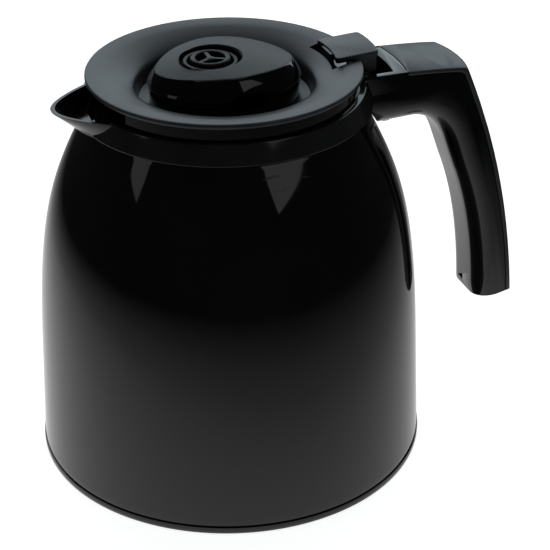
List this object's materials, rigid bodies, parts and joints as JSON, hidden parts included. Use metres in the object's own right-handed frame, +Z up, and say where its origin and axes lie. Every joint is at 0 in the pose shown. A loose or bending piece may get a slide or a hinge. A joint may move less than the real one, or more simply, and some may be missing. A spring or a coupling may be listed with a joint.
{
  "type": "insulated coffee jug",
  "caption": "Round-shouldered insulated coffee jug with a pouring spout, an open-ended handle, a brew-through funnel lid with a central valve, and a thumb lever that opens it.",
  "frame": {"origin": "centre of the foot ring, on the surface that the jug stands on", "axes": "+Z up along the jug's axis, +X towards the handle, -X towards the spout, +Y to the jug's left when the handle points away"},
  "size_m": [0.2039, 0.1606, 0.1714],
  "materials": {
    "gloss_black": "high-gloss moulded black polypropylene with a light orange peel",
    "satin_black": "satin black plastic with a bluish sheen under overhead light",
    "grained_black": "finely eroded matte black plastic",
    "flask_glass": "silvered double-walled glass",
    "silicone": "translucent grey silicone",
    "soft_rubber": "matte black rubber",
    "steel": "plain stainless steel"
  },
  "bodies": {
    "jug": {"outer_shell": "gloss_black", "base_plate": "gloss_black", "flask_outer_wall": "flask_glass", "flask_inner_wall": "flask_glass", "flask_cushion": "soft_rubber", "neck_gasket": "silicone", "pouring_collar": "gloss_black", "handle_body": "gloss_black", "handle_cover": "satin_black", "handle_screw_front": "steel", "handle_screw_rear": "steel"},
    "lid": {"lid_dish": "satin_black", "lid_body": "gloss_black", "lid_seal": "silicone", "inlet_tower": "gloss_black", "inlet_cap": "grained_black", "lever_pin": "steel", "valve_spring": "steel"},
    "lever": {"thumb_lever": "satin_black"},
    "valve": {"inlet_wheel": "grained_black", "valve_stem": "gloss_black", "valve_disc": "gloss_black", "valve_seal": "silicone"}
  },
  "joints": [
    {"name": "lid_lift", "type": "slide", "parent": "jug", "child": "lid", "axis": [0, 0, 1], "range_m": [0, 0.06]},
    {"name": "lever_press", "type": "hinge", "parent": "lid", "child": "lever", "pos_m": [-0.03, 0, 0.1474], "axis": [0, 1, 0], "range_deg": [0, 4.4], "stiffness_Nm_per_rad": 4, "springref_deg": -2.29},
    {"name": "valve_push", "type": "slide", "parent": "lid", "child": "valve", "axis": [0, 0, -1], "range_m": [0, 0.00188], "deforming": ["valve_spring"]}
  ],
  "couplings": [
    {"joint": "valve_push", "follows": "lever_press", "m_per_rad": 0.0244}
  ]
}
